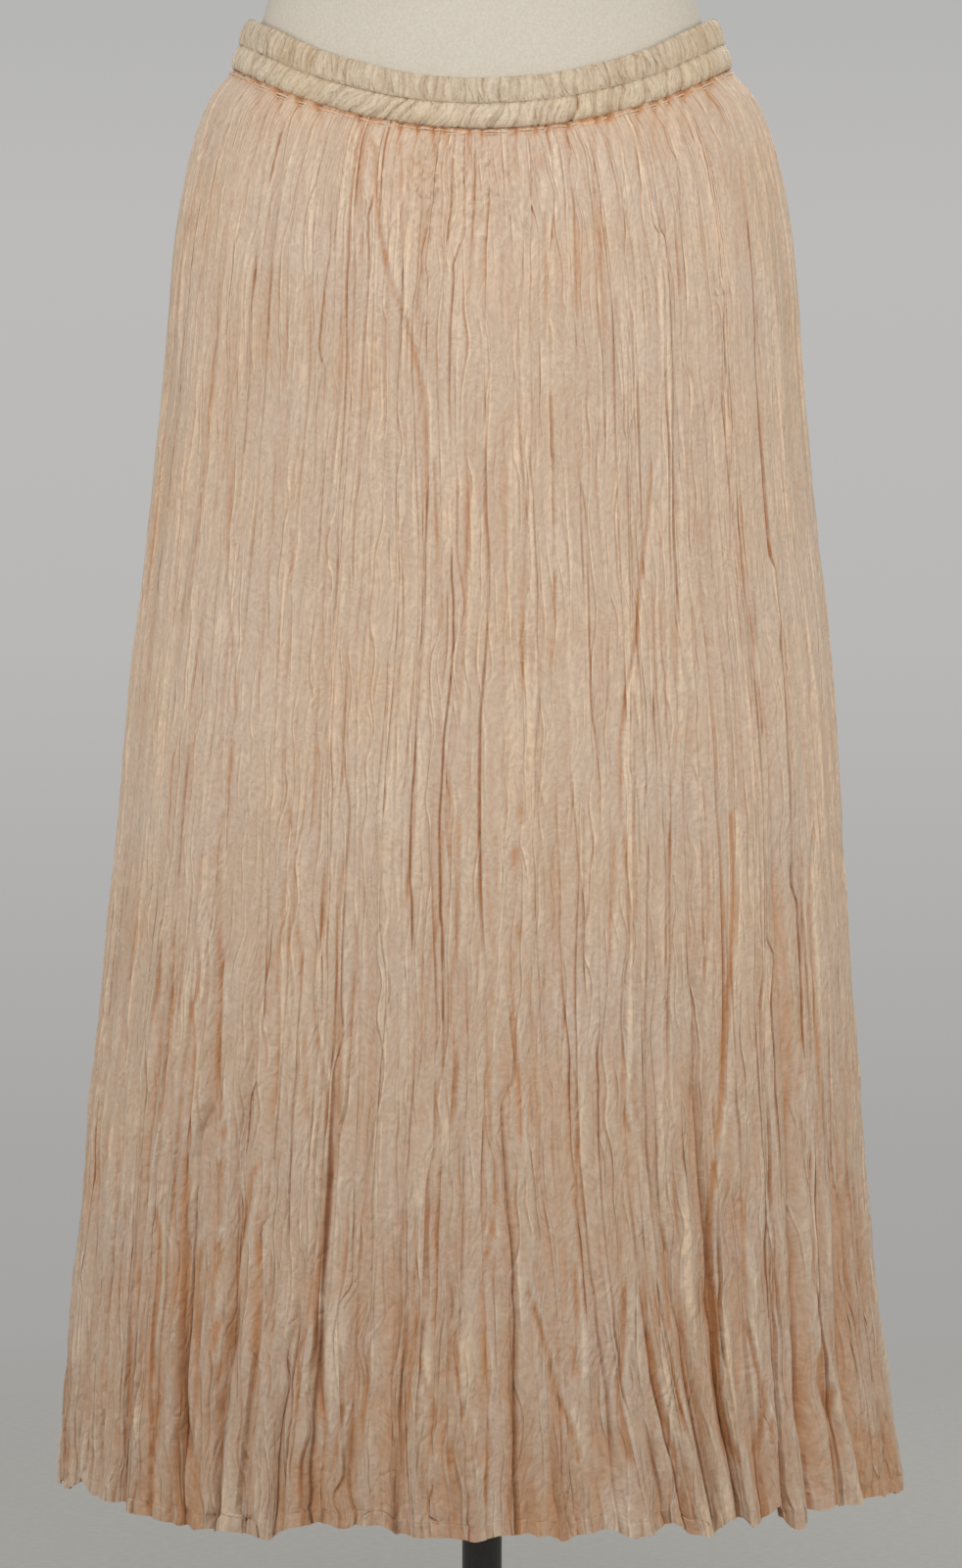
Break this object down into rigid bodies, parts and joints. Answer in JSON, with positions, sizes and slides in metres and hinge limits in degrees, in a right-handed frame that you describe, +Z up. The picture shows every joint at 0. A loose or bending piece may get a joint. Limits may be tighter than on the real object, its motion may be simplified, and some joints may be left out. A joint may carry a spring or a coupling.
{
  "type": "pleated skirt on a dress form",
  "caption": "Long crinkle-pleated skirt with a gathered elastic waistband, worn by a smooth limbless dress form on a pole and a round flat base.",
  "frame": {"origin": "centre of the stand's base on the floor, below the pole", "axes": "+Z up along the pole; the skirt's front faces -Y; +X is the wearer's left"},
  "size_m": [0.4875, 0.373, 1.5093],
  "materials": {
    "casing_silk": "satin",
    "skirt_silk": "satin",
    "form_jersey": "matte",
    "cap_plastic": "satin",
    "stand_steel": "satin"
  },
  "bodies": {
    "root": {"waistband_front": "casing_silk", "waistband_back": "casing_silk", "skirt_front": "skirt_silk", "skirt_back": "skirt_silk", "dress_form": "form_jersey", "form_neck_cap": "cap_plastic", "stand_pole": "stand_steel", "stand_base": "stand_steel"}
  },
  "joints": []
}
